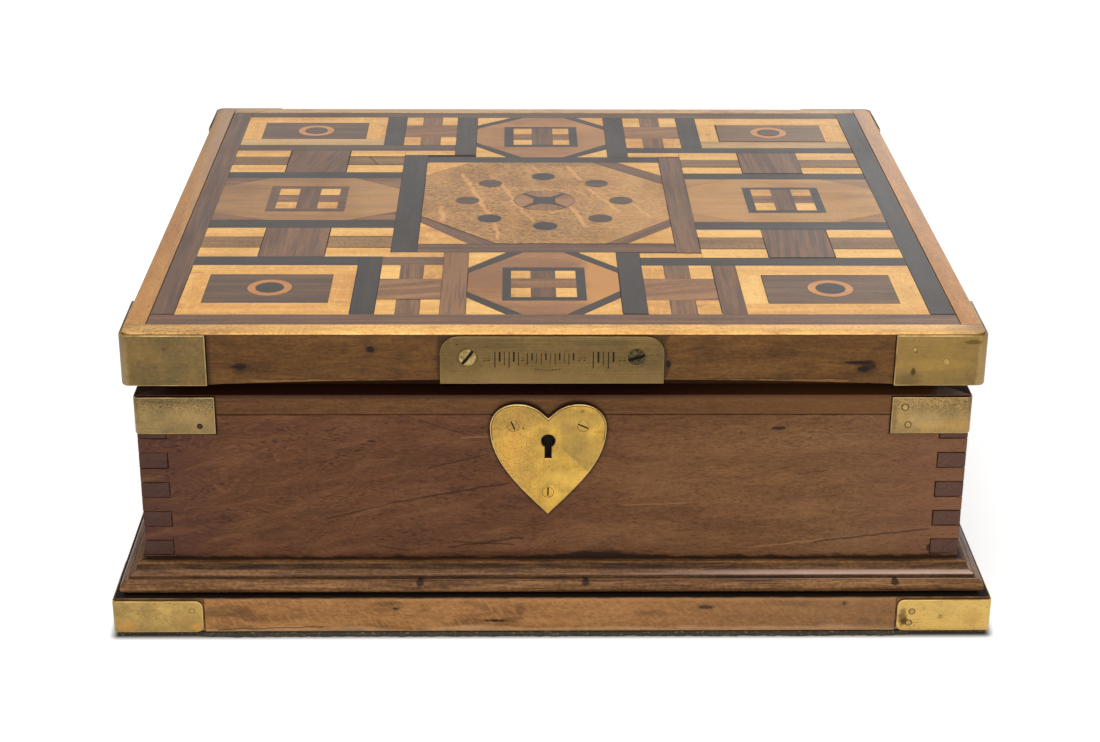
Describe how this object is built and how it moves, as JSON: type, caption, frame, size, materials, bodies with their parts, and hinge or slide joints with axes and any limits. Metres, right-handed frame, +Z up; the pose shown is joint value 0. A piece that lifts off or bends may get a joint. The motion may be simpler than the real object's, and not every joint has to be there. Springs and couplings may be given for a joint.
{
  "type": "humidor",
  "caption": "Cigar box of brown hardwood with an inlaid geometric lid, finger-jointed walls, a moulded foot, brass corner straps and a heart-shaped brass keyhole plate.",
  "frame": {"origin": "middle of the felt's underside, on the surface that the box stands on", "axes": "+Z up, -Y towards the front with the keyhole, +X to the right as seen from the front"},
  "size_m": [0.38, 0.3454, 0.1384],
  "materials": {
    "wall_wood": "satin, reddish brown hardwood",
    "rim_wood": "satin, mid brown hardwood",
    "lid_wood": "satin, brown hardwood with knots",
    "base_wood": "satin, light brown hardwood",
    "moulding_wood": "waxed, dark brown hardwood",
    "border_wood": "polished, golden satinwood",
    "inlay": "polished inlay of dark and light veneers",
    "dull_brass": "tarnished, brushed",
    "bright_brass": "worn, semi-bright",
    "dark_steel": "darkened",
    "felt": "felted, matt"
  },
  "bodies": {
    "root": {"base_board": "base_wood", "base_strap_back_left": "bright_brass", "base_strap_back_right": "bright_brass", "base_strap_front_left": "bright_brass", "base_strap_front_right": "bright_brass", "body_strap_back_left": "dull_brass", "body_strap_back_right": "dull_brass", "body_strap_front_left": "dull_brass", "body_strap_front_right": "dull_brass", "border_back": "border_wood", "border_front": "border_wood", "border_left": "border_wood", "border_right": "border_wood", "escutcheon": "bright_brass", "escutcheon_screw_left": "bright_brass", "escutcheon_screw_lower": "bright_brass", "escutcheon_screw_right": "bright_brass", "felt": "felt", "lid_back": "lid_wood", "lid_front": "lid_wood", "lid_left": "lid_wood", "lid_panel": "lid_wood", "lid_right": "lid_wood", "lid_strap_back_left": "dull_brass", "lid_strap_back_right": "dull_brass", "lid_strap_front_left": "dull_brass", "lid_strap_front_right": "dull_brass", "moulding_back": "moulding_wood", "moulding_front": "moulding_wood", "moulding_left": "moulding_wood", "moulding_right": "moulding_wood", "name_plate": "dull_brass", "parquetry": "inlay", "plate_screw_left": "dull_brass", "plate_screw_right": "dark_steel", "rim_back": "rim_wood", "rim_front": "rim_wood", "rim_left": "rim_wood", "rim_right": "rim_wood", "wall_back": "wall_wood", "wall_front": "wall_wood", "wall_left": "wall_wood", "wall_right": "wall_wood"}
  },
  "joints": []
}
